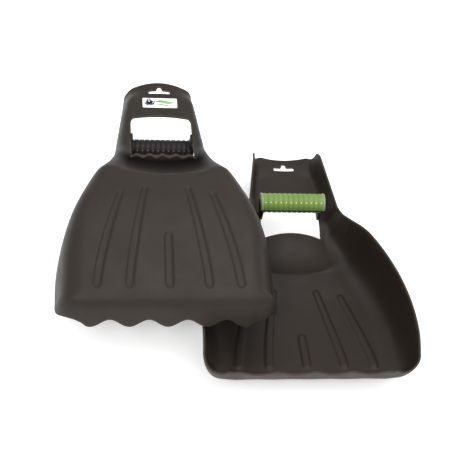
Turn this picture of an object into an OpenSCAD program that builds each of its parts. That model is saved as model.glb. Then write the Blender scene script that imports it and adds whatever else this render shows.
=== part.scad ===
// Pair of leaf grabber hands: two moulded scoops worn on the hands, each with a ribbed cross grip.
// Each hand is modelled in its own frame: X across, Y from the toothed lip to the cuff, Z towards
// the hollow side. The right hand lies hollow side up, the left hand lies over it, hollow side down.

/* [Scoop] */
// Full width over the flared side walls
scoop_w = 278; // [250:1:300]
// Length from the lip to the top of the cuff
scoop_l = 355; // [330:1:380]
// Height of the side walls beside the blade
wall_h = 78; // [60:1:90]
// Height of the lip between tooth tip and tooth root
lip_h = 60; // [50:1:70]
// Wall thickness of the moulding
wall_t = 2.8; // [2:0.1:4]
// How far the blade climbs from its lowest line to the lip
blade_rise = 21; // [10:1:28]

/* [Teeth and ribs] */
// Distance between two teeth of the lip
tooth_pitch = 48; // [40:1:52]
// Height of a tooth from root to tip
tooth_h = 11.5; // [4:0.5:14]
// Width of a stiffening rib
rib_w = 10.5; // [6:0.5:12]
// Height of a rib on the hollow side
rib_h = 2.2; // [1:0.1:3]

/* [Cuff] */
// Width of the flat floor inside the cuff
cuff_w = 76; // [70:1:84]
// Height of the cuff plate over the lowest line of the blade
cuff_z = 25; // [18:1:32]
// Width of the hand opening
opening_w = 84; // [76:1:88]
// Length of the hand opening
opening_l = 69; // [60:1:72]
// Width of the euro hang slot
slot_w = 32; // [26:1:36]

/* [Grip] */
// Length of the green cover
grip_l = 89; // [86:1:92]
// Diameter of the grip over its rings
grip_d = 26.4; // [24:0.2:28]
// Height of the grip axis over the cuff plate
grip_up = 28; // [25:1:32]
// Number of fine rings on the grip
grip_rings = 12; // [8:1:13]
// Number of finger waves on the edge of the palm pocket
grip_waves = 5; // [4:1:6]

/* [Left hand] */
// Sideways place of the left hand over the right one
left_x = -182; // [-184:1:-180]
// Lengthwise place of the left hand
left_y = 57; // [54:1:66]
// Height of the left hand's back over the floor
left_z = 147; // [146.5:0.5:190]

/* [Hidden] */
$fn = 32;

shell_col = [0.27, 0.25, 0.23];
bar_col = [0.10, 0.10, 0.10];
cover_col = [0.42, 0.58, 0.20];
label_col = [0.93, 0.93, 0.90];

// lip line, opening and nose of the palm pocket along Y
lip_y = 14;
open_y0 = 227;
open_y1 = open_y0 + opening_l;
nose_y = 228;
nose_l = 52;
slot_y = scoop_l - 16;
grip_y = 259;
grip_z = cuff_z + grip_up;
ring_pitch = 7;
neck_w = 128;
lip_out = 24;
tooth_lean = 3.2;
post_w = 3.6;
pair_shift = [-left_x / 2, -(left_y + scoop_l + lip_y - lip_out - tooth_lean) / 2, 0];

function ease(u) = let (c = min(1, max(0, u))) c * c * (3 - 2 * c);
function mix(a, b, u) = a + (b - a) * u;

// plan half width of the floor, lowest line of the blade, rim of the side wall
flare = scoop_w / 2 - 38 - cuff_w / 2 - 2;
function edge_x(y) = cuff_w / 2 + 2 - 6 * max(0, (y - 240) / 115) + flare / (1 + exp((y - 171) / 21));
function blade_z(y) = y < 140 ? blade_rise * pow((140 - y) / 126, 1.5) : 0;
function flare_x(y) = 0.15 * (235 - max(235, y))
    + (scoop_w - neck_w) / 2 * pow(max(0, 1 - pow(max(0, y - 45) / 190, 2)), 0.9);
function rim_x(y) = neck_w / 2 + (flare_x(y - 14) + 2 * flare_x(y) + flare_x(y + 14)) / 4;
function rim_y(y) = y + 21 * exp(-pow((y - 188) / 52, 2)) - 6 * ease((y - 300) / 55);
function rim_z(y) = wall_h - 18 * ease((y - 190) / 60) - 24 * pow(max(0, (45 - y) / 45), 2);

// crowned palm pocket, running out of the cuff plate and ending in a rounded nose on the blade
function nose(x, y) = let (u = max(0, nose_y - y) / (nose_l - 11 * min(1.4, pow(x / 61, 2))))
    pow(max(0, 1 - pow(u, 2.2)), 0.85);
function floor_z(x, y) = mix(blade_z(y), cuff_z - 7 * pow(x / 42, 2) * ease((246 - y) / 26), nose(x, y))
    + 7 * pow(x / 30, 2) * ease((y - 322) / 30);
function row_y(x, y) = y - 3 * pow(x / 44, 2) * ease((y - 290) / 65)
    + 11 * pow(x / 61, 2) * exp(-pow((y - 178) / 16, 2));
function floor_p(t, y) = let (x = t * edge_x(y), v = row_y(x, y)) [x, v, floor_z(x, v)];

rows = concat([for (y = [lip_y : 14 : 154]) y], [for (y = [162 : 5 : 232]) y],
    [for (y = [247 : 12 : scoop_l - 8]) y], [scoop_l - 4, scoop_l]);
cols = 36;
wall_n = 8;
fan_n = 6;
last_row = len(rows) - 1;

// wall profile between floor edge and rim: a cubic curve, flat at the floor and steep at the rim
side_k = [0.72, 0.88, 0.3];
lip_k = [0.65, 0.75, 0.3];
cuff_k = [0.45, 0.82, 0.36];
function curve(u, k) = let (v = 1 - u)
    [3 * v * v * u * k[0] + 3 * v * u * u * k[1] + u * u * u, 3 * v * u * u * k[2] + u * u * u];

// a station is: index of its floor vertex, floor point, rim point, profile factors, dip of the cuff end
function side_station(j, s) = let (y = rows[j], v = rim_y(y))
    [j * (cols + 1) + (s > 0 ? cols : 0), floor_p(s, y),
     [s * rim_x(v), v, rim_z(v) - 9 * pow(max(0, (y - 340) / 15), 2)],
     mix(side_k, cuff_k, ease((y - 300) / 45)), 1.5 * ease((y - 300) / 55)];
function tooth(x) = abs(x) > 2.5 * tooth_pitch ? -1 : cos(360 * x / tooth_pitch);
function tooth_z(x) = lip_h + tooth_h / 2 * tooth(x);
function tooth_y(x) = lip_y - lip_out - tooth_lean / 2 * (1 + tooth(x));
function fan_station(k, s) = let (u = k / fan_n, p = floor_p(1, lip_y), w = rim_x(lip_y),
        x = p[0] + (w - p[0]) * pow(cos(90 * u), 0.85))
    [s > 0 ? cols : 0, [s * p[0], p[1], p[2]],
     [s * x, lip_y - lip_out * pow(sin(90 * u), 0.85), mix(rim_z(lip_y), tooth_z(x), ease(u * 1.6))],
     mix(side_k, lip_k, u), 0];
function lip_station(i) = let (p = floor_p(2 * i / cols - 1, lip_y))
    [i, p, [p[0], tooth_y(p[0]), tooth_z(p[0])], lip_k, 0];
stations = concat([for (j = [last_row : -1 : 0]) side_station(j, -1)],
    [for (k = [1 : fan_n - 1]) fan_station(k, -1)],
    [for (i = [0 : cols]) lip_station(i)],
    [for (k = [fan_n - 1 : -1 : 1]) fan_station(k, 1)],
    [for (j = [0 : last_row]) side_station(j, 1)]);

// point of the outer skin, and of the inner one, one wall thickness along the profile's normal
function wall_p(st, m) = let (u = m / wall_n, c = curve(u, st[3]), d = st[2] - st[1])
    st[1] + [d[0] * c[0], d[1] * c[0] - st[4] * sin(180 * u), d[2] * c[1]];
function unit(v) = v / norm(v);
function wall_in(i, m) = let (st = stations[i], n = len(stations),
        a = wall_p(stations[max(0, i - 1)], m), b = wall_p(stations[min(n - 1, i + 1)], m),
        lo = wall_p(st, m - 1), hi = wall_p(st, min(wall_n, m + 1)))
    wall_p(st, m) + wall_t * unit(cross(hi - lo, b - a));
function floor_in(t, y) = let (h = 0.5, p = floor_p(t, y), u = max(lip_y, y - h), w = min(scoop_l, y + h))
    p + wall_t * unit(cross(floor_p(min(1, t + 0.01), y) - floor_p(max(-1, t - 0.01), y),
        floor_p(t, w) - floor_p(t, u)));

module shell_sheet() {
    fc = (last_row + 1) * (cols + 1);
    ns = len(stations);
    half = fc + ns * wall_n;
    pts = concat(
        [for (y = rows) for (i = [0 : cols]) floor_p(2 * i / cols - 1, y)],
        [for (st = stations) for (m = [1 : wall_n]) wall_p(st, m)],
        [for (y = rows) for (i = [0 : cols]) floor_in(2 * i / cols - 1, y)],
        [for (i = [0 : ns - 1]) for (m = [1 : wall_n]) wall_in(i, m)]);
    function at(s, m) = m == 0 ? stations[s][0] : fc + s * wall_n + m - 1;
    floor_q = [for (j = [0 : last_row - 1]) for (i = [0 : cols - 1])
        let (a = j * (cols + 1) + i) [a, a + 1, a + cols + 2, a + cols + 1]];
    wall_q = [for (s = [0 : ns - 2]) for (m = [0 : wall_n - 1])
        [at(s, m), at(s, m + 1), at(s + 1, m + 1), at(s + 1, m)]];
    low = [for (q = concat(floor_q, wall_q)) each q[0] == q[3]
        ? [[q[0], q[1], q[2]]] : [[q[0], q[1], q[2]], [q[0], q[2], q[3]]]];
    top = [for (f = low) [f[2] + half, f[1] + half, f[0] + half]];
    rim = concat([for (m = [wall_n : -1 : 1]) [at(0, m), at(0, m - 1)]],
        [for (i = [0 : cols - 1]) [last_row * (cols + 1) + i, last_row * (cols + 1) + i + 1]],
        [for (m = [0 : wall_n - 1]) [at(ns - 1, m), at(ns - 1, m + 1)]],
        [for (s = [ns - 1 : -1 : 1]) [at(s, wall_n), at(s - 1, wall_n)]]);
    band = [for (e = rim) each [[e[0], e[1], e[1] + half], [e[0], e[1] + half, e[0] + half]]];
    polyhedron(points = pts, faces = concat(low, top, band));
}

// closed tube through a list of equal rings
module tube(rings) {
    k = len(rings[0]);
    n = len(rings);
    polyhedron(points = [for (r = rings) each r], faces = concat([[for (i = [0 : k - 1]) i]],
        [for (j = [0 : n - 2]) for (i = [0 : k - 1])
            [j * k + i, (j + 1) * k + i, (j + 1) * k + (i + 1) % k, j * k + (i + 1) % k]],
        [[for (i = [k - 1 : -1 : 0]) (n - 1) * k + i]]));
}

// centre lines of the five stiffening ribs: index -2 to 2
function rib_y1(i) = abs(i) == 0 ? 84 : abs(i) == 1 ? 153 : 145;
function rib_x(i, y) = sign(i) * (abs(i) == 1 ? 49 - 22 * pow(max(0, y - 19) / 136, 1.3)
    : 89 - 31 * pow(max(0, y - 14) / 133, 1.4));
module rib_bars(up) {
    for (i = [-2 : 2])
        let (y0 = 20, y1 = rib_y1(i), n = 9)
            tube([for (j = [0 : n])
                let (u = j / n, y = mix(y0, y1, u), x = abs(i) == 0 ? 0 : rib_x(i, y), e = sqrt(sin(15 + 150 * u)),
                     z = blade_z(y) + (up ? wall_t - 0.6 : -0.6))
                [for (a = [0 : 45 : 315]) [x - rib_w / 2 * cos(a) * e, y,
                    z + (up ? max(-0.4, (rib_h + 0.6) * sin(a) * e) : max(-1.5, 1.9 * sin(a) * e))]]]);
}

// hand opening: arched at both ends, rounded towards the cuff
function open_edge(x) = open_y0 - 6 * pow(x / 42, 2);
module opening() {
    w = opening_w / 2;
    translate([0, 0, -20]) linear_extrude(160) intersection() {
        polygon(concat([for (i = [-12 : 12]) [w * i / 12, open_edge(w * i / 12)]], [[w, open_y1], [-w, open_y1]]));
        offset(14) offset(-14) translate([-w, open_y0 - 40]) square([2 * w, opening_l + 40]);
        translate([0, open_y1 - 180]) circle(180, $fn = 120);
    }
}

module hang_slot() {
    translate([0, slot_y, 10]) linear_extrude(36) {
        hull() for (s = [-1, 1]) translate([s * (slot_w / 2 - 3.6), 0]) circle(3.6);
        hull() for (v = [1, 5]) translate([0, v]) circle(4.6);
    }
}

// wavy bead along the free edge of the palm pocket, where the fingertips rest
module finger_edge() {
    n = 40;
    half = opening_w / 2 + 1.3;
    tube([for (j = [0 : n]) let (x = mix(-half, half, j / n), y = open_edge(x) - 3.4 - 2 * cos(360 * grip_waves * j / n))
        [for (a = [0 : 60 : 300]) [x, y + 2.6 * cos(a), floor_z(x, y) - 0.4 + 2.6 * sin(a)]]]);
}

// the whole moulding, brought to the set width over the walls
module shell() {
    resize([scoop_w, 0, 0]) union() {
        difference() {
            union() {
                shell_sheet();
                rib_bars(true);
            }
            opening();
            hang_slot();
            rib_bars(false);
        }
        finger_edge();
    }
}

module ring_stack(r, l) {
    rotate([0, 90, 0]) {
        cylinder(h = l, r = r - 1.3, center = true);
        for (i = [0 : grip_rings - 1])
            translate([0, 0, (i - (grip_rings - 1) / 2) * ring_pitch]) cylinder(h = 3.8, r = r, center = true);
    }
}

// rear half of the grip with its two end posts, which stand in the side edges of the opening
module grip_bar() {
    r = grip_d / 2;
    translate([0, grip_y, grip_z]) {
        intersection() {
            ring_stack(r, grip_l);
            translate([-60, -30, -30]) cube([120, 60, 30]);
        }
        for (s = [-1, 1]) translate([s * (opening_w / 2 - 0.2 - post_w / 2), 0, 0]) {
            intersection() {
                rotate([0, 90, 0]) cylinder(h = post_w, r = r + 0.6, center = true);
                translate([-30, -30, -30]) cube([60, 60, 30]);
            }
            translate([-post_w / 2, -8, -grip_up - 0.6]) cube([post_w, 12, grip_up - 4]);
        }
    }
}

// soft ribbed front half, open underneath where it sits on the bar
module grip_cover() {
    r = grip_d / 2;
    translate([0, grip_y, grip_z]) intersection() {
        union() {
            ring_stack(r, grip_l);
            for (s = [-1, 1]) translate([s * (grip_l / 2 - 1.6), 0, 0])
                rotate([0, 90, 0]) cylinder(h = 3.2, r = r + 0.6, center = true);
        }
        translate([-60, -30, 0]) cube([120, 60, 30]);
    }
}

module label() {
    translate([-23.5, 309, cuff_z - 0.3]) linear_extrude(0.3) {
        translate([1.5, 0]) square([44, 17]);
        translate([0, 1.5]) square([47, 14]);
        for (x = [1.5, 45.5], y = [1.5, 15.5]) translate([x, y]) circle(1.5);
    }
}

module right_hand() {
    translate(pair_shift) children();
}
module left_hand() {
    translate(pair_shift + [left_x, left_y, left_z]) rotate([0, 180, 0]) children();
}

module right_shell() { color(shell_col) right_hand() shell(); }
module right_grip_bar() { color(bar_col) right_hand() grip_bar(); }
module right_grip_cover() { color(cover_col) right_hand() grip_cover(); }
module left_shell() { color(shell_col) left_hand() shell(); }
module left_grip_bar() { color(bar_col) left_hand() grip_bar(); }
module left_grip_cover() { color(cover_col) left_hand() grip_cover(); }
module left_label() { color(label_col) left_hand() label(); }

right_shell();
right_grip_bar();
right_grip_cover();
left_shell();
left_grip_bar();
left_grip_cover();
left_label();
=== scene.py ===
"""Pair of leaf grabber hands: moulded scoops with ribbed cross grips, one lying over the other."""
import math

import bpy
import numpy as np
from bpy.props import FloatProperty, FloatVectorProperty, IntProperty, PointerProperty
from mathutils import Matrix, Vector
from mathutils.kdtree import KDTree


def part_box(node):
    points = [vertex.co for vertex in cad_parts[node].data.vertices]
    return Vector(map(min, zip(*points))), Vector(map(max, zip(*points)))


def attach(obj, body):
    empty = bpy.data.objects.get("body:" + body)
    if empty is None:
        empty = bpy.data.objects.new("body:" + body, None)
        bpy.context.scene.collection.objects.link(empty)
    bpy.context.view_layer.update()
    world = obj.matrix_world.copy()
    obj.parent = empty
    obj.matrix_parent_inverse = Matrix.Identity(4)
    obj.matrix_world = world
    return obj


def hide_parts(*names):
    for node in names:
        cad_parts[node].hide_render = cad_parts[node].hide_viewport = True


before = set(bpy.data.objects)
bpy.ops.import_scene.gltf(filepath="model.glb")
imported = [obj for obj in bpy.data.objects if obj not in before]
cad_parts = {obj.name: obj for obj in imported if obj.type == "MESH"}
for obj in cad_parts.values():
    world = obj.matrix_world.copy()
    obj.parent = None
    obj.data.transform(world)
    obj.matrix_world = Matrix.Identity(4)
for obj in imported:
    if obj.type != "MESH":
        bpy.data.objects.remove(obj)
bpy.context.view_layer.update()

bl_info = {
    "name": "Leaf grabber hands",
    "version": (1, 0, 0),
    "blender": (4, 5, 0),
    "location": "View3D > Sidebar > Leaf Hands",
    "description": "Builds the two moulded scoops, their ribbed grips, the label and a small studio",
    "category": "Add Mesh",
}

MM = 0.001

# Extents of the moulding and of the grip, read from the frame
SHELL_LOW, SHELL_HIGH = (Vector(corner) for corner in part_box("right_shell"))
LEFT_LOW, LEFT_HIGH = (Vector(corner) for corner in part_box("left_shell"))
COVER_LOW, COVER_HIGH = (Vector(corner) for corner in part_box("right_grip_cover"))
BAR_LOW, BAR_HIGH = (Vector(corner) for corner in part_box("right_grip_bar"))
LABEL_LOW, LABEL_HIGH = (Vector(corner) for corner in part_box("left_label"))

# The tooth tips overhang the hand's own zero line along Y by this much
LIP_OVERHANG = 0.0132
RIGHT_ORIGIN = Vector(((SHELL_LOW.x + SHELL_HIGH.x) / 2, SHELL_LOW.y + LIP_OVERHANG, SHELL_LOW.z))
LEFT_ORIGIN = Vector(((LEFT_LOW.x + LEFT_HIGH.x) / 2, LEFT_LOW.y + LIP_OVERHANG, LEFT_HIGH.z))


def length_value(name, text, default, low=0.0, high=1.0):
    """A length in metres that a user may change."""
    return FloatProperty(name=name, description=text, default=default, min=low, max=high,
                         unit="LENGTH", subtype="DISTANCE")


def colour_value(name, text, default):
    """A linear colour that a user may change."""
    return FloatVectorProperty(name=name, description=text, default=default, min=0.0, max=1.0,
                               size=3, subtype="COLOR")


class LEAFHANDS_PG_scoop(bpy.types.PropertyGroup):
    """Sizes of the moulded scoop."""

    width: length_value("Width", "Full width over the flared side walls", SHELL_HIGH.x - SHELL_LOW.x)
    length: length_value("Length", "From the zero line at the lip to the top of the cuff",
                         SHELL_HIGH.y - SHELL_LOW.y - LIP_OVERHANG)
    wall_height: length_value("Wall height", "Height of the side walls beside the blade",
                              SHELL_HIGH.z - SHELL_LOW.z)
    lip_height: length_value("Lip height", "Height of the lip between tooth tip and root", 0.060)
    wall: length_value("Wall", "Thickness of the moulding", 0.0028)
    blade_rise: length_value("Blade rise", "Climb of the blade from its lowest line to the lip", 0.021)
    tooth_pitch: length_value("Tooth pitch", "Distance between two teeth of the lip", 0.048)
    tooth_height: length_value("Tooth height", "Height of a tooth from root to tip", 0.0115)
    rib_width: length_value("Rib width", "Width of a stiffening rib", 0.0105)
    rib_height: length_value("Rib height", "Rise of a rib on the hollow side", 0.0024)
    cuff_width: length_value("Cuff width", "Width of the flat floor inside the cuff", 0.076)
    cuff_height: length_value("Cuff height", "Height of the cuff plate over the blade", 0.025)
    opening_width: length_value("Opening width", "Width of the hand opening", 0.084)
    opening_length: length_value("Opening length", "Length of the hand opening", 0.069)
    slot_width: length_value("Slot width", "Width of the hang slot", 0.032)


class LEAFHANDS_PG_grip(bpy.types.PropertyGroup):
    """Sizes of the ribbed cross grip."""

    cover_length: length_value("Cover length", "Length of the soft cover", COVER_HIGH.x - COVER_LOW.x)
    flange_diameter: length_value("Flange diameter", "Diameter over the end flanges",
                                  COVER_HIGH.y - COVER_LOW.y)
    ring_step: length_value("Ring step", "Flange to ring crest, across the radius", 0.0006)
    ring_depth: length_value("Ring depth", "Depth of the valley between two rings", 0.0012)
    ring_pitch: length_value("Ring pitch", "Distance between two rings", 0.007)
    rings: IntProperty(name="Rings", description="Number of rings on the grip", default=12, min=4, max=16)
    post_depth: length_value("Post depth", "Size of an end post along the hand", 0.012)
    post_width: length_value("Post width", "Thickness of an end post", 0.0036)


class LEAFHANDS_PG_finish(bpy.types.PropertyGroup):
    """Colours of the materials."""

    shell: colour_value("Shell", "Dark taupe of the moulding", (0.0198, 0.0144, 0.0108))
    bar: colour_value("Grip bar", "Black of the grip bar", (0.0105, 0.0082, 0.0070))
    cover: colour_value("Grip cover", "Leaf green of the soft cover", (0.130, 0.222, 0.036))
    film: colour_value("Label film", "White of the label", (0.88, 0.88, 0.86))
    leaf_dark: colour_value("Dark leaves", "Violet of the label's first leaves", (0.035, 0.022, 0.070))
    leaf_green: colour_value("Green leaves", "Green of the label's last leaves", (0.130, 0.360, 0.060))
    floor: colour_value("Floor", "Pale studio floor", (0.93, 0.93, 0.928))


class LEAFHANDS_PG_stage(bpy.types.PropertyGroup):
    """Camera and light of the studio."""

    elevation: FloatProperty(name="Elevation", description="Camera height over the horizon",
                             default=math.radians(53.73), subtype="ANGLE", unit="ROTATION")
    heading: FloatProperty(name="Heading", description="Camera turn from looking along the hands",
                           default=math.radians(13.85), subtype="ANGLE", unit="ROTATION")
    roll: FloatProperty(name="Roll", description="Camera turn about its own line of sight",
                        default=math.radians(11.77), subtype="ANGLE", unit="ROTATION")
    distance: length_value("Distance", "Camera to the aimed point", 1.715, 0.2, 6.0)
    lens: FloatProperty(name="Lens", description="Focal length", default=94.4, min=20, max=300,
                        subtype="DISTANCE_CAMERA")
    key_power: FloatProperty(name="Key", description="Power of the overhead softbox, in watts",
                             default=24.0, min=0)
    fill_power: FloatProperty(name="Fill", description="Power of the front softbox, in watts",
                              default=11.0, min=0)
    sky: FloatProperty(name="Sky", description="Strength of the surrounding light", default=0.95, min=0)


# ---------------------------------------------------------------- shape of the scoop

# Places along the hand in millimetres, from the lip to the top of the cuff
LIP_Y = 14.0
FLARE_Y = 45.0
BLADE_Y = 140.0
GATE_Y = 167.0
SHOULDER_Y = 171.0
OPEN_Y = 227.0
NOSE_Y = 228.0
NECK_Y = 235.0
TAPER_Y = 240.0
CROWN_Y = 246.0
BOW_Y = 290.0
CUFF_Y = 300.0
TROUGH_Y = 322.0
HORN_Y = 340.0
SLOT_FROM_TOP = 16.0

# Lengths in millimetres over which one form runs into the next
CLIMB_RUN = 126.0
SHOULDER_RUN = 21.0
NOSE_LENGTH = 52.0
TAPER_RUN = 115.0
CUFF_RUN = 55.0

# Other sizes of the skin in millimetres
LIP_REACH = 24.0
TOOTH_LEAN = 3.2
NECK_HALF = 64.0
FLOOR_MARGIN = 2.0
WALL_SPREAD = 38.0
CUFF_TAPER = 6.0
CROWN_SAG = 7.0
TROUGH_RISE = 7.0
SHOULDER_DROP = 18.0
FRONT_DROP = 24.0
HORN_DROP = 9.0
CUFF_DIP = 1.5
GATE_RADIUS = 2.1
GATE_DEPTH = 0.7

# Swing of the wall between floor and rim: two pulls outward and one upward
SIDE_PROFILE = np.array((0.72, 0.88, 0.30))
LIP_PROFILE = np.array((0.65, 0.75, 0.30))
CUFF_PROFILE = np.array((0.45, 0.82, 0.36))

# Reach in millimetres of the rounding along the fold between floor and wall
CREASE_REACH = 5.0
FOLD_REACH = 16.0

# Depth of a groove on the back, as a share of the rib height
GROOVE_SHARE = 0.95

# Width of an end flange of the grip cover, and gap beside a post of the grip bar
FLANGE = 3.2
POST_GAP = 0.2

# Linear colour of the studs on the grip cover, a painted highlight on each ring crest
HIGHLIGHT_GREEN = (0.52, 0.68, 0.20)

# Studio in metres: aimed point from the right hand's origin, and place, aim and size of each softbox
CAMERA_AIM = (-0.0738, 0.2421, 0.0)
OVERHEAD_SOFTBOX = ((0.35, 0.10, 1.9), (0.0, 0.0, 0.03), 1.7)
FRONT_SOFTBOX = ((-0.60, -1.0, 1.6), (0.0, 0.0, 0.05), 0.5)
FLOOR_SIZE = 30.0
FLOOR_Z = -0.0002
FLOOR_GLOW = 0.28

# Divisions of the skin: across the floor, up the wall and round a front corner
COLUMNS = 128
WALL_STEPS = 24
FAN_STEPS = 14


def ease(u):
    """Smooth step from 0 to 1."""
    c = np.clip(u, 0.0, 1.0)
    return c * c * (3 - 2 * c)


def between(a, b, u):
    """Value from a to b at share u."""
    return a + (b - a) * u


class ScoopForm:
    """Back skin of one hand in its own frame, in mm: X across, Y from lip to cuff, Z to the hollow."""

    def __init__(self, sizes):
        for name in ("width", "length", "wall_height", "lip_height", "wall", "blade_rise", "tooth_pitch",
                     "tooth_height", "rib_width", "rib_height", "cuff_width", "cuff_height",
                     "opening_width", "opening_length", "slot_width"):
            setattr(self, name, getattr(sizes, name) / MM)

    def edge_x(self, y):
        """Half width of the floor."""
        cuff = self.cuff_width / 2 + FLOOR_MARGIN
        flare = self.width / 2 - WALL_SPREAD - cuff
        taper = CUFF_TAPER * np.maximum(0, (y - TAPER_Y) / TAPER_RUN)
        return cuff - taper + flare / (1 + np.exp((y - SHOULDER_Y) / SHOULDER_RUN))

    def blade_z(self, y):
        """Height of the blade, which climbs towards the lip."""
        return self.blade_rise * (np.maximum(0, BLADE_Y - y) / CLIMB_RUN) ** 1.5

    def nose(self, x, y):
        """1 on the palm pocket and cuff, falling to 0 at the arched nose on the blade."""
        run = NOSE_LENGTH - 11 * np.minimum(1.4, (x / 61) ** 2)
        u = np.maximum(0, NOSE_Y - y) / run
        return np.maximum(0, 1 - u ** 2.2) ** 0.85

    def floor_z(self, x, y):
        """Height of the floor: blade, crowned pocket and flat cuff plate."""
        crown = self.cuff_height - CROWN_SAG * (x / 42) ** 2 * ease((CROWN_Y - y) / 26)
        trough = TROUGH_RISE * (x / 30) ** 2 * ease((y - TROUGH_Y) / 30)
        return between(self.blade_z(y), crown, self.nose(x, y)) + trough

    def floor_point(self, across, y):
        """Point of the floor, where across runs from -1 to 1 between its side edges."""
        x = across * self.edge_x(y)
        bowed = y - 3 * (x / 44) ** 2 * ease((y - BOW_Y) / 65)
        bowed = bowed + 11 * (x / 61) ** 2 * np.exp(-((y - 178) / 16) ** 2)
        return np.stack([x, bowed, self.floor_z(x, bowed)], -1)

    def flare_x(self, y):
        """Spread of the rims beyond the neck."""
        flare = np.maximum(0, 1 - (np.maximum(0, y - FLARE_Y) / (NECK_Y - FLARE_Y)) ** 2) ** 0.9
        return 0.15 * (NECK_Y - np.maximum(NECK_Y, y)) + (self.width / 2 - NECK_HALF) * flare

    def rim_x(self, y):
        """Half width over the rims, smoothed where the flare meets the cuff."""
        step = 14
        return NECK_HALF + (self.flare_x(y - step) + 2 * self.flare_x(y) + self.flare_x(y + step)) / 4

    def rim_z(self, y):
        """Height of the rims."""
        shoulder = SHOULDER_DROP * ease((y - 190) / 60)
        return self.wall_height - shoulder - FRONT_DROP * np.maximum(0, (FLARE_Y - y) / FLARE_Y) ** 2

    def side_rim(self, rows, side):
        """Rim point of each row; the rim leans back at the shoulder and forward at the cuff."""
        y = rows + 21 * np.exp(-((rows - 188) / 52) ** 2) - 6 * ease((rows - CUFF_Y) / CUFF_RUN)
        drop = HORN_DROP * np.maximum(0, (rows - HORN_Y) / 15) ** 2
        return np.stack([side * self.rim_x(y), y, self.rim_z(y) - drop], -1)

    def tooth(self, x):
        """Wave of the lip, from -1 at a root to 1 at a tip."""
        return np.where(np.abs(x) > 2.5 * self.tooth_pitch, -1, np.cos(2 * math.pi * x / self.tooth_pitch))

    def tooth_z(self, x):
        """Height of the waved lip."""
        return self.lip_height + self.tooth_height / 2 * self.tooth(x)

    def corner_rim(self, share, side):
        """Rim points of the rounded corner between side wall (share 0) and lip (share 1)."""
        base = self.edge_x(LIP_Y)
        wide = self.rim_x(LIP_Y)
        turn = share * math.pi / 2
        x = base + (wide - base) * np.cos(turn) ** 0.85
        y = LIP_Y - LIP_REACH * np.sin(turn) ** 0.85
        z = between(self.rim_z(LIP_Y), self.tooth_z(x), ease(share * 1.6))
        return np.stack([side * x, y, z], -1)

    def lip_rim(self, x):
        """Rim points of the lip over floor points at x."""
        y = LIP_Y - LIP_REACH - TOOTH_LEAN / 2 * (1 + self.tooth(x))
        return np.stack([x, y, self.tooth_z(x)], -1)

    def opening_edge(self, x):
        """Free edge of the palm pocket, arched across."""
        return OPEN_Y - 6 * (x / 42) ** 2

    def opening_outline(self):
        """Outline of the hand opening as X, Y points."""
        half, top, corner, bow = self.opening_width / 2, OPEN_Y + self.opening_length, 14.0, 180.0
        x = half * np.sin(np.linspace(-math.pi / 2, math.pi / 2, 161))
        past = np.maximum(0, np.abs(x) - half + corner)
        shoulder = top - corner + np.sqrt(np.maximum(0, corner ** 2 - past ** 2))
        arch = top - bow + np.sqrt(bow ** 2 - x ** 2)
        upper = np.stack([x, np.minimum(shoulder, arch)], -1)
        lower = np.stack([x, self.opening_edge(x)], -1)
        return np.concatenate([lower, upper[::-1]])

    def slot_outline(self):
        """Outline of the hang slot: a straight slit with round ends and a round notch over its middle."""
        end, notch, lift = 3.6, 4.6, 5.0
        half = self.slot_width / 2
        x = half * np.sin(np.linspace(-math.pi / 2, math.pi / 2, 161))
        slit = np.sqrt(np.maximum(0, end ** 2 - np.maximum(0, np.abs(x) - half + end) ** 2))
        bump = np.where(np.abs(x) < notch, lift + np.sqrt(np.maximum(0, notch ** 2 - x ** 2)), 0)
        middle = self.length - SLOT_FROM_TOP
        upper = np.stack([x, middle + np.maximum(slit, bump)], -1)
        lower = np.stack([x, middle - slit], -1)
        return np.concatenate([lower, upper[::-1]])

    def rib_lines(self, hollow_side):
        """Centre lines of the five stiffening ribs as X, Y points; on the hollow side they end lower."""
        short = 8 if hollow_side else 0
        lines = [np.stack([np.zeros(30), np.linspace(21, 84 - 2 * short, 30)], -1)]
        for side in (-1, 1):
            inner = np.linspace(21, 152 - short, 40)
            outer = np.linspace(21, 144 - short, 40)
            lines.append(np.stack([side * (49 - 22 * ((inner - 19) / 136) ** 1.3), inner], -1))
            lines.append(np.stack([side * (89 - 31 * ((outer - 14) / 133) ** 1.4), outer], -1))
        return lines

    def relief(self, points, hollow_side):
        """Rise of the ribs over the floor, as a share of the full rib height."""
        near = np.full(len(points), 1e9)
        for line in self.rib_lines(hollow_side):
            start, run = line[:-1], np.diff(line, axis=0)
            offset = points[:, None, :2] - start[None]
            along = np.clip((offset * run).sum(-1) / (run ** 2).sum(-1), 0, 1)
            gap = offset - along[..., None] * run
            near = np.minimum(near, np.sqrt((gap ** 2).sum(-1)).min(1))
        narrow = 1.1 * ease((points[:, 1] - 60) / 90)
        return ease((self.rib_width / 2 + 0.9 - narrow - near) / 2.6)


def row_places(form):
    """Rows of the skin along Y, close together where the form turns quickly."""
    stretches = ((LIP_Y, 150, 2.4), (150, 200, 1.25), (200, CUFF_Y, 1.8), (CUFF_Y, 332, 2.4),
                 (332, form.length, 1.0))
    rows = [np.linspace(a, b, round((b - a) / step), endpoint=False) for a, b, step in stretches]
    return np.concatenate(rows + [[form.length]])


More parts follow.
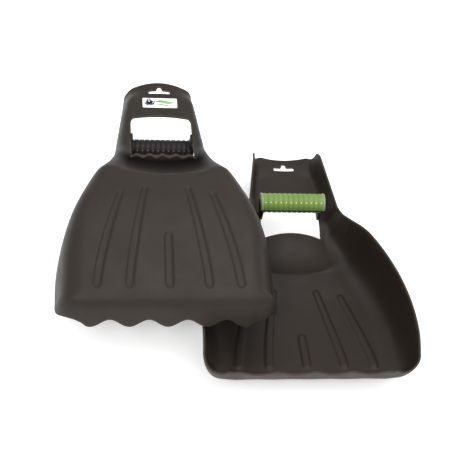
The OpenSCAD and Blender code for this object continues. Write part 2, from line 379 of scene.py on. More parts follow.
def open_sheet(form):
    """Points and quads of the back skin, floor first and then its wall, and the points of the fold."""
    rows = row_places(form)
    last, width = len(rows) - 1, COLUMNS + 1
    floor = form.floor_point(np.linspace(-1, 1, width)[None, :], rows[:, None])
    fan = np.arange(1, FAN_STEPS) / FAN_STEPS
    mixed = between(SIDE_PROFILE, LIP_PROFILE, fan[:, None])
    side_profile = between(SIDE_PROFILE, CUFF_PROFILE, ease((rows - CUFF_Y) / 45)[:, None])
    dip = CUFF_DIP * ease((rows - CUFF_Y) / CUFF_RUN)
    no_dip = np.zeros(len(fan))
    down = np.arange(last, -1, -1)
    roots = np.concatenate([down * width, np.zeros(len(fan), int), np.arange(width),
                            np.full(len(fan), COLUMNS), np.arange(last + 1) * width + COLUMNS])
    rims = np.concatenate([form.side_rim(rows, -1)[down], form.corner_rim(fan, -1),
                           form.lip_rim(floor[0, :, 0]), form.corner_rim(fan, 1)[::-1],
                           form.side_rim(rows, 1)])
    profiles = np.concatenate([side_profile, mixed, np.tile(LIP_PROFILE, (width, 1)), mixed[::-1],
                               side_profile])
    dips = np.concatenate([dip[down], no_dip, np.zeros(width), no_dip, dip])
    bases = floor.reshape(-1, 3)[roots]
    u = (np.arange(1, WALL_STEPS + 1) / WALL_STEPS)[None, :]
    v = 1 - u
    k = profiles[:, :, None]
    out = 3 * v * v * u * k[:, 0] + 3 * v * u * u * k[:, 1] + u ** 3
    rise = 3 * v * u * u * k[:, 2] + u ** 3
    span = (rims - bases)[:, None, :]
    wall = bases[:, None, :] + span * np.stack([out, out, rise], -1)
    wall[..., 1] -= dips[:, None] * np.sin(math.pi * u)
    grid = len(roots)
    index = np.concatenate([roots[:, None],
                            floor.shape[0] * width + np.arange(grid * WALL_STEPS).reshape(grid, -1)], 1)
    a = (np.arange(last)[:, None] * width + np.arange(COLUMNS)[None, :]).ravel()
    floor_quads = np.stack([a, a + 1, a + width + 1, a + width], 1)
    wall_quads = np.stack([index[:-1, :-1], index[:-1, 1:], index[1:, 1:], index[1:, :-1]], -1).reshape(-1, 4)
    points = np.concatenate([floor.reshape(-1, 3), wall.reshape(-1, 3)])
    return points, np.concatenate([floor_quads, wall_quads]), np.unique(roots)


def sheet_edges(quads):
    """Directed edges of the quads, without the collapsed ones, and the open ones among them."""
    a = quads.ravel()
    b = np.roll(quads, -1, 1).ravel()
    real = a != b
    a, b = a[real], b[real]
    both = set(zip(b.tolist(), a.tolist()))
    open_edges = [e for e in zip(a.tolist(), b.tolist()) if e not in both]
    return a, b, np.array(open_edges)


def relaxed(points, quads, weight, rounds):
    """Points drawn towards their neighbours; a point of an open edge only looks along that edge."""
    a, b, rim = sheet_edges(quads)
    on_rim = np.zeros(len(points), bool)
    on_rim[rim.ravel()] = True
    inner = ~on_rim[a]
    start = np.concatenate([a[inner], rim[:, 0], rim[:, 1]])
    stop = np.concatenate([b[inner], rim[:, 1], rim[:, 0]])
    count = np.bincount(start, minlength=len(points)).clip(1)[:, None]
    points = points.copy()
    for _ in range(rounds):
        total = np.zeros_like(points)
        np.add.at(total, start, points[stop])
        moved = total / count
        points += weight[:, None] * np.where(count > 1, moved - points, 0)
    return points


def nearness(points, marks, reach):
    """1 at the marks, falling away over the given reach."""
    tree = KDTree(len(marks))
    for i, mark in enumerate(marks):
        tree.insert(Vector(mark), i)
    tree.balance()
    gap = np.array([tree.find(Vector(p))[2] for p in points])
    return np.exp(-(gap / reach) ** 2)


def inside(outline, x, y):
    """True where x, y lies inside a closed outline."""
    hits = np.zeros(len(x), bool)
    for (x0, y0), (x1, y1) in zip(outline, np.roll(outline, -1, 0)):
        if y0 == y1:
            continue
        crosses = (y0 > y) != (y1 > y)
        hits ^= crosses & (x < (x1 - x0) * (y - y0) / (y1 - y0) + x0)
    return hits


def along_outline(outline, step=0.2):
    """Evenly close points on a closed outline."""
    parts = []
    for start, stop in zip(outline, np.roll(outline, -1, 0)):
        count = max(1, round(float(np.linalg.norm(stop - start)) / step))
        parts.append(start + (stop - start) * (np.arange(count) / count)[:, None])
    return np.concatenate(parts)


def point_normals(points, quads):
    """Unit normals of the sheet, on its hollow side."""
    p = points[quads]
    area = np.cross(p[:, 2] - p[:, 0], p[:, 3] - p[:, 1])
    total = np.zeros_like(points)
    for corner in range(4):
        np.add.at(total, quads[:, corner], area)
    return total / np.maximum(1e-12, np.linalg.norm(total, axis=1))[:, None]


def cut(points, quads, outline):
    """Takes the outline out of the floor, and draws the cut edge of the sheet onto it."""
    middle = points[quads].mean(1)
    gone = inside(outline, middle[:, 0], middle[:, 1]) & (middle[:, 2] < 45)
    before = {tuple(e) for e in sheet_edges(quads)[2].tolist()}
    quads = quads[~gone]
    fresh = [e for e in sheet_edges(quads)[2].tolist() if tuple(e) not in before]
    edge = np.unique(np.array(fresh))
    normals = point_normals(points, quads)
    line = along_outline(outline)
    points = points.copy()
    for i in edge:
        shift = line[np.argmin(((line - points[i, :2]) ** 2).sum(1))] - points[i, :2]
        slope = -(normals[i, :2] @ shift) / max(0.3, normals[i, 2])
        points[i] += (*shift, slope)
    close = nearness(points, points[edge], 3.0)
    close[edge] = 0
    return relaxed(points, quads, 0.5 * close, 4), quads


def thick_shell(form):
    """Closed skin of the moulding with rounded edges: points, faces, paler edges (partly wear, partly painted
    highlight) and painted pocket shade of each point.
    """
    points, quads, border = open_sheet(form)
    crease = nearness(points, points[border], CREASE_REACH)
    wide = nearness(points, points[border], FOLD_REACH) * ease((215 - points[:, 1]) / 50)
    points = relaxed(points, quads, 0.6 * wide, 46)
    points = relaxed(points, quads, 0.5 * crease, 5)
    for outline in (form.opening_outline(), form.slot_outline()):
        points, quads = cut(points, quads, outline)
    used = np.unique(quads)
    renumber = np.zeros(len(points), int)
    renumber[used] = np.arange(len(used))
    points, quads, crease = points[used], renumber[quads], crease[used]

    normals = point_normals(points, quads)
    groove = form.relief(points, False)[:, None] * normals
    ridge = form.relief(points, True)[:, None] * normals
    from_gate = (points[:, 0] ** 2 + (points[:, 1] - GATE_Y) ** 2) / GATE_RADIUS ** 2
    gate = GATE_DEPTH * np.exp(-from_gate ** 2)[:, None] * normals
    outer = points + GROOVE_SHARE * form.rib_height * groove - gate
    inner = points + form.wall * normals + form.rib_height * ridge

    rim = sheet_edges(quads)[2]
    direction = points[rim[:, 1]] - points[rim[:, 0]]
    direction /= np.maximum(1e-6, np.linalg.norm(direction, axis=1))[:, None]
    outward = np.zeros_like(points)
    for end in (0, 1):
        np.add.at(outward, rim[:, end], np.cross(direction, normals[rim[:, end]]))
    edge = np.unique(rim)
    outward = outward[edge] / np.linalg.norm(outward[edge], axis=1)[:, None]
    centre = points[edge] + form.wall / 2 * normals[edge]
    turns = np.radians((35, 65, 90, 115, 145))
    rings = [centre + form.wall / 2 * (math.cos(t) * normals[edge] + 0.9 * math.sin(t) * outward)
             for t in turns]

    count, on_edge = len(points), len(edge)
    place = np.zeros(count, int)
    place[edge] = np.arange(on_edge)
    ladder = [lambda i: i + count]
    for step in range(len(rings)):
        ladder.append(lambda i, step=step: 2 * count + step * on_edge + place[i])
    ladder.append(lambda i: i)
    strips = [np.stack([upper(rim[:, 1]), upper(rim[:, 0]), lower(rim[:, 0]), lower(rim[:, 1])], 1)
              for upper, lower in zip(ladder[:-1], ladder[1:])]
    faces = np.concatenate([quads[:, ::-1], quads + count] + strips)
    # Painted shade: marks the palm pocket on the back skin, where shade falls in the recess behind the grip,
    # for darkening in the material
    pocket = form.nose(points[:, 0], points[:, 1]) * ease((229 - points[:, 1]) / 14)
    pocket = pocket * ease((62 - np.abs(points[:, 0])) / 16)
    shade = np.concatenate([pocket, np.zeros(count), np.zeros(on_edge * len(rings))])
    # Paler edges: partly wear on the rims, partly a painted highlight along the rounded rims and the fold
    # between floor and wall
    wear_and_highlight = np.zeros(count)
    wear_and_highlight[edge] = 0.55
    wear_and_highlight = np.maximum(wear_and_highlight, 0.12 * crease)
    wear_and_highlight = np.concatenate([wear_and_highlight, wear_and_highlight] + [np.ones(on_edge)] * len(rings))
    return np.concatenate([outer, inner] + rings), faces, wear_and_highlight, shade


def finger_edge(form):
    """Waved bead on the free edge of the palm pocket, where the fingertips rest."""
    waves, swing, bead, sides, set_back, overrun = 5, 2.0, 2.6, 12, 3.4, 1.3
    half = form.opening_width / 2 + overrun
    x = np.linspace(-half, half, 121)
    y = form.opening_edge(x) - set_back - swing * np.cos(2 * math.pi * waves * (x + half) / (2 * half))
    z = form.floor_z(x, y) - 0.4
    size = bead * np.sqrt(np.sin(np.linspace(0.05, math.pi - 0.05, len(x)))) ** 0.35
    turn = np.arange(sides) * 2 * math.pi / sides
    rings = np.stack([np.tile(x[:, None], (1, sides)), y[:, None] + size[:, None] * np.cos(turn),
                      z[:, None] + size[:, None] * np.sin(turn)], -1)
    return tube(rings)


def tube(rings):
    """Points and faces of a closed tube through equal rings."""
    count, sides = rings.shape[:2]
    a = np.arange(count - 1)[:, None] * sides + np.arange(sides)[None, :]
    b = np.arange(count - 1)[:, None] * sides + (np.arange(sides)[None, :] + 1) % sides
    walls = np.stack([a, a + sides, b + sides, b], -1).reshape(-1, 4)
    faces = walls.tolist() + [list(range(sides)), list(range(count * sides - 1, (count - 1) * sides - 1, -1))]
    return rings.reshape(-1, 3), faces


# ---------------------------------------------------------------- placing pieces


def right_place(points):
    """Hand frame, in millimetres, to the place of the right hand in the shared frame."""
    return np.asarray(points) * MM + np.array(RIGHT_ORIGIN)


def left_place(points):
    """Hand frame, in millimetres, to the place of the left hand, which lies hollow side down."""
    return np.asarray(points) * MM * np.array((-1, 1, -1)) + np.array(LEFT_ORIGIN)


HANDS = {"right": (right_place, "right_hand"), "left": (left_place, "left_hand")}


def as_faces(faces):
    """Faces without repeated corners, as lists."""
    tidy = []
    for face in (faces.tolist() if isinstance(faces, np.ndarray) else faces):
        corners = [c for i, c in enumerate(face) if c != face[i - 1]]
        if len(corners) > 2:
            tidy.append(corners)
    return tidy


def make_piece(name, parts, materials, layers=None):
    """One smooth mesh object from (points, faces, material number) parts, with named point layers."""
    points, faces, numbers, start = [], [], [], 0
    for part_points, part_faces, number in parts:
        clean = as_faces(part_faces)
        points.extend(np.asarray(part_points).tolist())
        faces.extend([[c + start for c in face] for face in clean])
        numbers.extend([number] * len(clean))
        start += len(part_points)
    mesh = bpy.data.meshes.new(name)
    mesh.from_pydata(points, [], faces)
    for material in materials:
        mesh.materials.append(material)
    mesh.polygons.foreach_set("material_index", numbers)
    mesh.polygons.foreach_set("use_smooth", [True] * len(faces))
    for layer_name, values in (layers or {}).items():
        layer = mesh.attributes.new(layer_name, "FLOAT", "POINT")
        layer.data.foreach_set("value", np.asarray(values, dtype=np.float32))
    mesh.validate()
    mesh.update()
    piece = bpy.data.objects.new(name, mesh)
    bpy.context.scene.collection.objects.link(piece)
    return piece


def fit_to_box(points, low, high):
    """Points brought exactly to the box of their CAD node."""
    points = np.asarray(points)
    own_low, own_high = points.min(0), points.max(0)
    return np.array(low) + (points - own_low) * (np.array(high) - np.array(low)) / (own_high - own_low)


def stands_for(piece, node, body):
    """The piece takes the place of a CAD node on its body."""
    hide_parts(node)
    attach(piece, body)


# ---------------------------------------------------------------- finishes


# Range that the noise mostly keeps to
NOISE_REACH = (0.3, 0.7)


class Finish:
    """One procedural material: its nodes, its links and its shader."""

    def __init__(self, name):
        self.material = bpy.data.materials.new(name)
        self.material.use_nodes = True
        self.nodes = self.material.node_tree.nodes
        self.links = self.material.node_tree.links
        self.shader = self.nodes.get("Principled BSDF")

    def place(self):
        """Place on the object, in its own coordinates."""
        return self.nodes.new("ShaderNodeTexCoord").outputs["Object"]

    def noise(self, scale, detail, rough=0.5):
        """Noise over the object's own coordinates."""
        node = self.nodes.new("ShaderNodeTexNoise")
        for socket, number in (("Scale", scale), ("Detail", detail), ("Roughness", rough)):
            node.inputs[socket].default_value = number
        self.links.new(self.place(), node.inputs["Vector"])
        return node.outputs["Fac"]

    def layer(self, name):
        """A named point layer of the mesh."""
        node = self.nodes.new("ShaderNodeAttribute")
        node.attribute_name = name
        return node.outputs["Fac"]

    def spread(self, value, reach, result):
        """Value within its reach spread over the range of the result."""
        node = self.nodes.new("ShaderNodeMapRange")
        for socket, number in zip(("From Min", "From Max", "To Min", "To Max"), (*reach, *result)):
            node.inputs[socket].default_value = number
        self.links.new(value, node.inputs["Value"])
        return node.outputs["Result"]

    def product(self, first, second):
        """Product of two values."""
        node = self.nodes.new("ShaderNodeMath")
        node.operation = "MULTIPLY"
        self.links.new(first, node.inputs[0])
        self.links.new(second, node.inputs[1])
        return node.outputs[0]

    def blend(self, share, first, second):
        """Colour from first to second; each is a socket or a linear colour."""
        node = self.nodes.new("ShaderNodeMix")
        node.data_type = "RGBA"
        self.links.new(share, node.inputs[0])
        for socket, colour in ((node.inputs[6], first), (node.inputs[7], second)):
            if isinstance(colour, bpy.types.NodeSocket):
                self.links.new(colour, socket)
            else:
                socket.default_value = (*colour, 1.0)
        return node.outputs[2]

    def bump(self, height, strength, distance, under=None):
        """Bump from a height, on top of another bump if given."""
        node = self.nodes.new("ShaderNodeBump")
        node.inputs["Strength"].default_value = strength
        node.inputs["Distance"].default_value = distance
        self.links.new(height, node.inputs["Height"])
        if under is not None:
            self.links.new(under, node.inputs["Normal"])
        return node.outputs["Normal"]

    def feed(self, socket, source):
        """Joins a source to an input of the shader."""
        self.links.new(source, self.shader.inputs[socket])


def scaled(colour, factor):
    """A linear colour made lighter or darker."""
    return tuple(min(1.0, c * factor) for c in colour)


def moulded_finish(name, colour, rough, grain, mottling, wear_and_highlight_gain):
    """Moulded plastic: flow mottling, fine grain, paler edges that are partly rubbed wear and partly a
    painted highlight, and painted shade that makes the palm pocket dark and dull.
    """
    finish = Finish(name)
    clouds = finish.spread(finish.noise(14.0, 5.0, 0.6), NOISE_REACH, (0.0, 1.0))
    body = finish.blend(clouds, scaled(colour, 1 - mottling), scaled(colour, 1 + mottling))
    specks = finish.spread(finish.noise(420.0, 2.0), (0.60, 0.78), (0.0, 0.25))
    body = finish.blend(specks, body, scaled(colour, 1.45))
    # Paler edges: partly rubbed wear, partly a painted highlight where rims and folds catch the light
    patches = finish.spread(finish.noise(60.0, 4.0), (0.25, 0.75), (0.55, 1.0))
    body = finish.blend(finish.product(finish.layer("pale_edges"), patches), body, scaled(colour, wear_and_highlight_gain))
    # Painted shade: the palm pocket is darkened to a tenth of the colour and its specular lowered, standing
    # in for the shade in the recess
    shade = finish.layer("painted_pocket_shade")
    body = finish.blend(shade, body, scaled(colour, 0.10))
    fine = finish.bump(finish.noise(1500.0, 2.0), grain, 0.0002)
    finish.feed("Base Color", body)
    finish.feed("Roughness", finish.spread(finish.noise(34.0, 6.0), NOISE_REACH, rough))
    finish.feed("Specular IOR Level", finish.spread(shade, (0.0, 1.0), (0.20, 0.03)))
    finish.feed("Normal", finish.bump(finish.noise(55.0, 2.0), 0.25, 0.0009, fine))
    return finish.material


def soft_cover_finish(colour):
    """Soft-touch green moulding with a fine pebble grain, a light sheen and paler end flanges."""
    finish = Finish("soft_green_cover")
    clouds = finish.spread(finish.noise(45.0, 4.0), NOISE_REACH, (0.0, 1.0))
    body = finish.blend(clouds, scaled(colour, 0.88), scaled(colour, 1.10))
    pebble = finish.noise(900.0, 3.0)
    body = finish.blend(finish.spread(pebble, (0.35, 0.65), (0.0, 0.5)), body, scaled(colour, 0.78))
    pale = tuple(between(c, 0.34, 0.35) for c in colour)
    finish.feed("Base Color", finish.blend(finish.layer("pale_edges"), body, pale))
    finish.feed("Roughness", finish.spread(finish.noise(120.0, 3.0), NOISE_REACH, (0.46, 0.58)))
    finish.feed("Normal", finish.bump(pebble, 0.5, 0.0004))
    finish.shader.inputs["Sheen Weight"].default_value = 0.15
    finish.shader.inputs["Sheen Roughness"].default_value = 0.4
    return finish.material


def film_finish(colour):
    """White self-adhesive film, slightly mottled and waved."""
    finish = Finish("label_film")
    clouds = finish.noise(90.0, 4.0)
    finish.feed("Base Color", finish.blend(clouds, scaled(colour, 0.95), scaled(colour, 1.03)))
    finish.feed("Roughness", finish.spread(clouds, NOISE_REACH, (0.28, 0.40)))
    finish.feed("Normal", finish.bump(finish.noise(160.0, 2.0), 0.2, 0.0003))
    return finish.material


def ink_finish(dark, green):
    """Printing ink that turns from violet to green along the label."""
    finish = Finish("label_ink")
    split = finish.nodes.new("ShaderNodeSeparateXYZ")
    finish.links.new(finish.place(), split.inputs[0])
    span = LABEL_HIGH.x - LABEL_LOW.x
    turn = (LABEL_LOW.x + 0.35 * span, LABEL_LOW.x + 0.6 * span)
    body = finish.blend(finish.spread(split.outputs["X"], turn, (0.0, 1.0)), dark, green)
    dots = finish.spread(finish.noise(1800.0, 1.0), (0.4, 0.7), (0.0, 0.25))
    finish.feed("Base Color", finish.blend(dots, body, (0.5, 0.5, 0.5)))
    finish.feed("Roughness", finish.spread(finish.noise(90.0, 4.0), NOISE_REACH, (0.30, 0.45)))
    return finish.material


def floor_finish(colour):
    """Pale matte studio floor with a trace of unevenness, which gives off a little light."""
    finish = Finish("studio_floor")
    clouds = finish.noise(3.0, 4.0)
    finish.feed("Base Color", finish.blend(clouds, scaled(colour, 0.99), scaled(colour, 1.01)))
    finish.feed("Roughness", finish.spread(clouds, NOISE_REACH, (0.75, 0.9)))
    finish.shader.inputs["Emission Color"].default_value = (1.0, 1.0, 1.0, 1.0)
    finish.shader.inputs["Emission Strength"].default_value = FLOOR_GLOW
    return finish.material


# ---------------------------------------------------------------- grip and label


def half_section(fillet=0.05, arc_steps=26, fillet_steps=4):
    """Unit half disc over its flat side, with two small rounded corners, as Y, Z points."""
    reach = math.sqrt((1 - fillet) ** 2 - fillet ** 2)
    start = math.atan2(fillet, reach)
    right = [(reach + fillet * math.cos(t), fillet + fillet * math.sin(t))
             for t in np.linspace(-math.pi / 2, start, fillet_steps)]
    arc = [(math.cos(t), math.sin(t)) for t in np.linspace(start, math.pi - start, arc_steps)[1:-1]]
    left = [(-y, z) for y, z in reversed(right)]
    return np.array(right + arc + left)


def grip_radius(x, grip, flange_from, flange_to):
    """Radius of the grip at x: rounded rings, and an end flange between the two given places."""
    crest = grip.flange_diameter / MM / 2 - grip.ring_step / MM
    valley = grip.ring_depth / MM
    pitch = grip.ring_pitch / MM
    half = grip.rings * pitch / 2
    share = ((x + half) % pitch) / pitch * 2 - 1
    ring = crest - valley * (1 - np.sqrt(np.maximum(0, 1 - (0.97 * share) ** 4))) * 1.45
    ring = np.where(np.abs(x) > half, crest - valley, ring)
    away = np.clip((np.abs(x) - flange_from) / (flange_to - flange_from), 0, 1)
    rounded = np.sqrt(np.maximum(0, 1 - (2 * away - 1) ** 6))
    flange = crest + grip.ring_step / MM - 1.2 * (1 - rounded)
    on_flange = (np.abs(x) >= flange_from) & (np.abs(x) <= flange_to)
    return np.where(on_flange, np.maximum(ring, flange), ring)


def half_grip(grip, axis, half_length, flange_from, flange_to, upward):
    """Loft of one half of the grip about its axis point, with rounded ends."""
    x = np.linspace(-half_length, half_length, 241)
    rounding = 0.9
    from_end = (half_length - np.abs(x)).clip(0)
    radius = grip_radius(x, grip, flange_from, flange_to)
    radius = radius - rounding * (1 - np.sqrt(1 - (1 - np.clip(from_end / rounding, 0, 1)) ** 2))
    section = half_section() * np.array((1, upward))
    if upward < 0:
        section = section[::-1]
    rings = np.stack([np.tile(x[:, None], (1, len(section))), axis[1] + radius[:, None] * section[:, 0],
                      axis[2] + radius[:, None] * section[:, 1]], -1)
    return tube(rings)


def grip_nubs(grip, axis, tilt, size):
    """Row of small studs on the ring crests, facing the fingertips at a tilt over the hand's plane."""
    crest = (grip.flange_diameter / 2 - grip.ring_step) / MM
    ahead = np.array((0.0, -math.cos(tilt), math.sin(tilt)))
    aside = np.array((0.0, math.sin(tilt), math.cos(tilt)))
    turn = np.linspace(0, 2 * math.pi, 12, endpoint=False)
    circle = np.cos(turn)[:, None] * np.array((1.0, 0, 0)) + np.sin(turn)[:, None] * aside
    studs = []
    for ring in range(grip.rings):
        x = (ring - (grip.rings - 1) / 2) * grip.ring_pitch / MM
        centre = np.array((x, axis[1], axis[2])) + (crest - 0.15) * ahead
        rings = [centre + 0.5 * size * math.sin(lift) * ahead + size * math.cos(lift) * circle
                 for lift in np.radians((-20, 5, 30, 55, 78))]
        studs.append(tube(np.array(rings)))
    return studs


def round_rectangle(wide, deep, corner, steps):
    """X and Y of a rectangle with round corners about its own middle."""
    turns = np.linspace(0, 2 * math.pi, steps, endpoint=False) + math.pi / steps
    x = np.sign(np.cos(turns)) * (wide / 2 - corner) + corner * np.cos(turns)
    y = np.sign(np.sin(turns)) * (deep / 2 - corner) + corner * np.sin(turns)
    return x, y


def end_post(grip, side, outer_x, axis, foot, head):
    """Flat black post under one end of the grip, with rounded edges and a slight taper to its foot."""
    wide = grip.post_width / MM
    x, y = round_rectangle(wide, grip.post_depth / MM, 0.7, 24)
    levels = ((foot, 0.72, 0.93), (foot + 0.25, 0.90, 0.98), (foot + 0.8, 1.0, 1.0), (head, 1.0, 1.0))
    rings = [np.stack([side * (outer_x - wide / 2) + x * sx, axis[1] - 2 + y * sy, np.full_like(x, z)], -1)
             for z, sx, sy in levels]
    return tube(np.array(rings))


def rounded_plate(wide, deep, corner, centre, low, high, edge):
    """Thin plate with round corners and a softened upper edge."""
    x, y = round_rectangle(wide, deep, corner, 48)
    levels = ((high, 1.0), (low + edge, 1.0), (low, 1 - 2 * edge / wide))
    rings = [np.stack([centre[0] + x * share, centre[1] + y * (1 - (1 - share) * wide / deep),
                       np.full_like(x, z)], -1) for z, share in levels]
    return tube(np.array(rings))


def leaf_blade(centre, size, turn, height, half):
    """One side of a pointed leaf beside its midrib, as a flat face."""
    t = np.linspace(0, 1, 15)
    width = 0.30 * size * np.sin(math.pi * t ** 0.8) ** 0.9
    gap = 0.035 * size
    outline = [(gap, s) for s in (1 - t) * size] + [(gap + w, s) for w, s in zip(width, t * size)]
    points = []
    for across, along in outline:
        u, v = half * across, along - size / 2
        points.append((centre[0] + u * math.cos(turn) - v * math.sin(turn),
                       centre[1] + u * math.sin(turn) + v * math.cos(turn), height))
    return points


def label_leaves(middle, wide, deep, height):
    """Sprig of three leaves at one end of the label, and two swelling ribbons that run to the other end."""
    faces, points = [], []
    stem = (middle[0] + wide * 0.30, middle[1] - deep * 0.20)
    for size, lean in ((12.5, -4), (10.5, 46), (9.5, -52)):
        turn = math.radians(lean)
        centre = (stem[0] - math.sin(turn) * size * 0.46, stem[1] + math.cos(turn) * size * 0.46)
        for half in (-1, 1):
            blade = leaf_blade(centre, size, turn, height, half)
            order = list(range(len(points), len(points) + len(blade)))
            faces.append(order if half < 0 else order[::-1])
            points.extend(blade)
    steps = 41
    share = np.linspace(0, 1, steps)
    for lift, body, start_x in ((-0.22, 1.1, 0.20), (0.10, 2.6, 0.16)):
        x = middle[0] + wide * between(start_x, -0.44, share)
        y = middle[1] + deep * lift + 1.3 * np.sin(2 * math.pi * share)
        thick = body * np.sin(np.linspace(0.05, math.pi - 0.05, steps))
        start = len(points)
        points.extend([(a, b - c, height) for a, b, c in zip(x, y, thick)])
        points.extend([(a, b + c, height) for a, b, c in zip(x, y, thick)])
        faces.extend([[start + i, start + i + 1, start + steps + 1 + i, start + steps + i]
                      for i in range(steps - 1)])
    return points, faces


# ---------------------------------------------------------------- operators


class LEAFHANDS_OT_shells(bpy.types.Operator):
    """Build the two moulded scoops"""

    bl_idname = "leafhands.shells"
    bl_label = "Scoops"

    def execute(self, context):
        form = ScoopForm(context.scene.leafhands_scoop)
        colours = context.scene.leafhands_finish
        finish = moulded_finish("moulded_shell", colours.shell, (0.44, 0.58), 0.16, 0.05, 2.4)
        points, faces, wear_and_highlight, shade = thick_shell(form)
        bead_points, bead_faces = finger_edge(form)
        # The waved bead is painted paler: partly wear, partly a painted highlight along its crest
        wear_and_highlight = np.concatenate([wear_and_highlight, np.full(len(bead_points), 0.6)])
        shade = np.concatenate([shade, np.zeros(len(bead_points))])
        for hand, (place, body) in HANDS.items():
            node = hand + "_shell"
            skin = fit_to_box(place(points), *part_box(node))
            piece = make_piece(node + "_moulding", [(skin, faces, 0), (place(bead_points), bead_faces, 0)],
                               [finish], {"pale_edges": wear_and_highlight, "painted_pocket_shade": shade})
            stands_for(piece, node, body)
        return {"FINISHED"}


def grip_axis():
    """Point of the grip axis in the hand frame, in millimetres."""
    middle = (COVER_LOW.y + COVER_HIGH.y) / 2 - RIGHT_ORIGIN.y
    return (0.0, middle / MM, (COVER_LOW.z - RIGHT_ORIGIN.z) / MM)


class LEAFHANDS_OT_grip_bars(bpy.types.Operator):
    """Build the black grip bars with their end posts"""

    bl_idname = "leafhands.grip_bars"
    bl_label = "Grip bars"

    def execute(self, context):
        grip = context.scene.leafhands_grip
        black = context.scene.leafhands_finish.bar
        finish = moulded_finish("black_grip_bar", black, (0.42, 0.55), 0.30, 0.08, 1.0)
        # Painted highlight: the studs are coloured much paler than the bar, standing in for the row of glints
        # along the ring crests
        highlight_stud_finish = moulded_finish("bar_highlight_studs", scaled(black, 16.0), (0.22, 0.34), 0.1, 0.08, 1.0)
        axis = grip_axis()
        half = (BAR_HIGH.x - BAR_LOW.x) / MM / 2
        outer = context.scene.leafhands_scoop.opening_width / MM / 2 - POST_GAP
        foot = (BAR_LOW.z - RIGHT_ORIGIN.z) / MM
        pieces = [half_grip(grip, axis, half, outer - grip.post_width / MM, outer, -1)]
        head = axis[2] - 5
        pieces += [end_post(grip, side, outer, axis, foot, head) for side in (-1, 1)]
        studs = grip_nubs(grip, axis, math.radians(-42), 0.80)
        for hand, (place, body) in HANDS.items():
            node = hand + "_grip_bar"
            parts = [(place(points), faces, 0) for points, faces in pieces]
            parts += [(place(points), faces, 1) for points, faces in studs]
            stands_for(make_piece(node + "_ribbed", parts, [finish, highlight_stud_finish]), node, body)
        return {"FINISHED"}


class LEAFHANDS_OT_grip_covers(bpy.types.Operator):
    """Build the soft green grip covers"""

    bl_idname = "leafhands.grip_covers"
    bl_label = "Grip covers"

    def execute(self, context):
        grip = context.scene.leafhands_grip
        finish = soft_cover_finish(context.scene.leafhands_finish.cover)
        half = grip.cover_length / MM / 2
        points, faces = half_grip(grip, grip_axis(), half, half - FLANGE, half, 1)
        pale_ends = np.where(np.abs(points[:, 0]) > half - FLANGE - 0.2, 0.8, 0.0)
        # Painted highlight: pale green studs stand in for the glints on the ring crests
        studs = grip_nubs(grip, grip_axis(), math.radians(54), 1.05)
        highlight_stud_finish = moulded_finish("cover_highlight_studs", HIGHLIGHT_GREEN, (0.25, 0.35), 0.1, 0.08, 1.0)
        pale_ends = np.concatenate([pale_ends] + [np.zeros(len(stud)) for stud, _ in studs])
        for hand, (place, body) in HANDS.items():
            node = hand + "_grip_cover"
            parts = [(place(points), faces, 0)] + [(place(stud), stud_faces, 1) for stud, stud_faces in studs]
            piece = make_piece(node + "_ribbed", parts, [finish, highlight_stud_finish], {"pale_edges": pale_ends})
            stands_for(piece, node, body)
        return {"FINISHED"}


class LEAFHANDS_OT_label(bpy.types.Operator):
    """Build the printed label on the back of the left cuff"""

    bl_idname = "leafhands.label"
    bl_label = "Label"

    def execute(self, context):
        finish = context.scene.leafhands_finish
        wide, deep, thick = ((high - low) / MM for low, high in zip(LABEL_LOW, LABEL_HIGH))
        middle = (0.0, ((LABEL_LOW.y + LABEL_HIGH.y) / 2 - LEFT_ORIGIN.y) / MM)
        high = (LEFT_ORIGIN.z - LABEL_LOW.z) / MM
        plate, plate_faces = rounded_plate(wide, deep, 1.5, middle, high - thick, high, 0.12)
        leaves, leaf_faces = label_leaves(middle, wide, deep, high - thick - 0.02)
        parts = [(left_place(plate), plate_faces, 0), (left_place(leaves), leaf_faces, 1)]
        piece = make_piece("left_label_print", parts,
                           [film_finish(finish.film), ink_finish(finish.leaf_dark, finish.leaf_green)])
        stands_for(piece, "left_label", "left_hand")
        return {"FINISHED"}


def softbox(name, place, aim, size, power):
    """Square area light that looks at the aimed point."""
    light = bpy.data.lights.new(name, "AREA")
    light.energy = power
    light.size = size
    holder = bpy.data.objects.new(name, light)
    holder.location = place
    holder.rotation_euler = (Vector(aim) - Vector(place)).to_track_quat("-Z", "Y").to_euler()
    bpy.context.scene.collection.objects.link(holder)


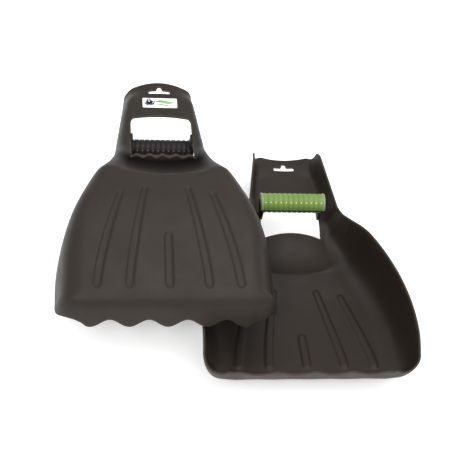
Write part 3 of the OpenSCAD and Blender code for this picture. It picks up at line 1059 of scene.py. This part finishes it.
class LEAFHANDS_OT_stage(bpy.types.Operator):
    """Set up the camera, the soft lights and the pale floor"""

    bl_idname = "leafhands.stage"
    bl_label = "Stage"

    def execute(self, context):
        stage = context.scene.leafhands_stage
        aim = RIGHT_ORIGIN + Vector(CAMERA_AIM)
        level = math.cos(stage.elevation)
        ahead = Vector((math.sin(stage.heading) * level, math.cos(stage.heading) * level,
                        -math.sin(stage.elevation)))
        flat_right = Vector((math.cos(stage.heading), -math.sin(stage.heading), 0.0))
        flat_up = flat_right.cross(ahead)
        right = flat_right * math.cos(stage.roll) + flat_up * math.sin(stage.roll)
        up = flat_up * math.cos(stage.roll) - flat_right * math.sin(stage.roll)
        camera = bpy.data.objects.new("camera", bpy.data.cameras.new("camera"))
        camera.data.lens = stage.lens
        camera.data.sensor_width = 36.0
        camera.data.clip_end = 50.0
        turn = Matrix((right, up, -ahead)).transposed().to_4x4()
        camera.matrix_world = Matrix.Translation(aim - ahead * stage.distance) @ turn
        context.scene.collection.objects.link(camera)
        context.scene.camera = camera

        softbox("overhead_softbox", *OVERHEAD_SOFTBOX, stage.key_power)
        softbox("front_softbox", *FRONT_SOFTBOX, stage.fill_power)
        world = bpy.data.worlds.new("studio_air")
        world.use_nodes = True
        air = world.node_tree.nodes["Background"]
        air.inputs["Color"].default_value = (1.0, 1.0, 1.0, 1.0)
        air.inputs["Strength"].default_value = stage.sky
        context.scene.world = world
        context.scene.view_settings.view_transform = "Standard"

        bpy.ops.mesh.primitive_grid_add(x_subdivisions=8, y_subdivisions=8, size=FLOOR_SIZE,
                                        location=(0, 0, FLOOR_Z))
        floor = context.object
        floor.name = "studio_floor"
        floor.data.materials.append(floor_finish(context.scene.leafhands_finish.floor))
        return {"FINISHED"}


class LEAFHANDS_PT_panel(bpy.types.Panel):
    """Sidebar with the building steps and the sizes"""

    bl_label = "Leaf grabber hands"
    bl_space_type = "VIEW_3D"
    bl_region_type = "UI"
    bl_category = "Leaf Hands"

    def draw(self, context):
        for operator in BUILD_ORDER:
            self.layout.operator(operator.bl_idname)
        for group in SETTINGS:
            values = getattr(context.scene, group)
            for name in values.bl_rna.properties.keys():
                if name not in {"rna_type", "name"}:
                    self.layout.prop(values, name)


SETTINGS = {"leafhands_scoop": LEAFHANDS_PG_scoop, "leafhands_grip": LEAFHANDS_PG_grip,
            "leafhands_finish": LEAFHANDS_PG_finish, "leafhands_stage": LEAFHANDS_PG_stage}
BUILD_ORDER = (LEAFHANDS_OT_stage, LEAFHANDS_OT_shells, LEAFHANDS_OT_grip_bars, LEAFHANDS_OT_grip_covers,
               LEAFHANDS_OT_label)


def register():
    """Registers the classes and hangs the settings on the scene."""
    for cls in (*SETTINGS.values(), *BUILD_ORDER, LEAFHANDS_PT_panel):
        bpy.utils.register_class(cls)
    for name, cls in SETTINGS.items():
        setattr(bpy.types.Scene, name, PointerProperty(type=cls))


def unregister():
    """Takes the settings and the classes away again."""
    for name in SETTINGS:
        delattr(bpy.types.Scene, name)
    for cls in (LEAFHANDS_PT_panel, *reversed(BUILD_ORDER), *SETTINGS.values()):
        bpy.utils.unregister_class(cls)


def main():
    """Builds everything in order."""
    register()
    bpy.ops.leafhands.stage()
    bpy.ops.leafhands.shells()
    bpy.ops.leafhands.grip_bars()
    bpy.ops.leafhands.grip_covers()
    bpy.ops.leafhands.label()


if __name__ == "__main__":
    main()
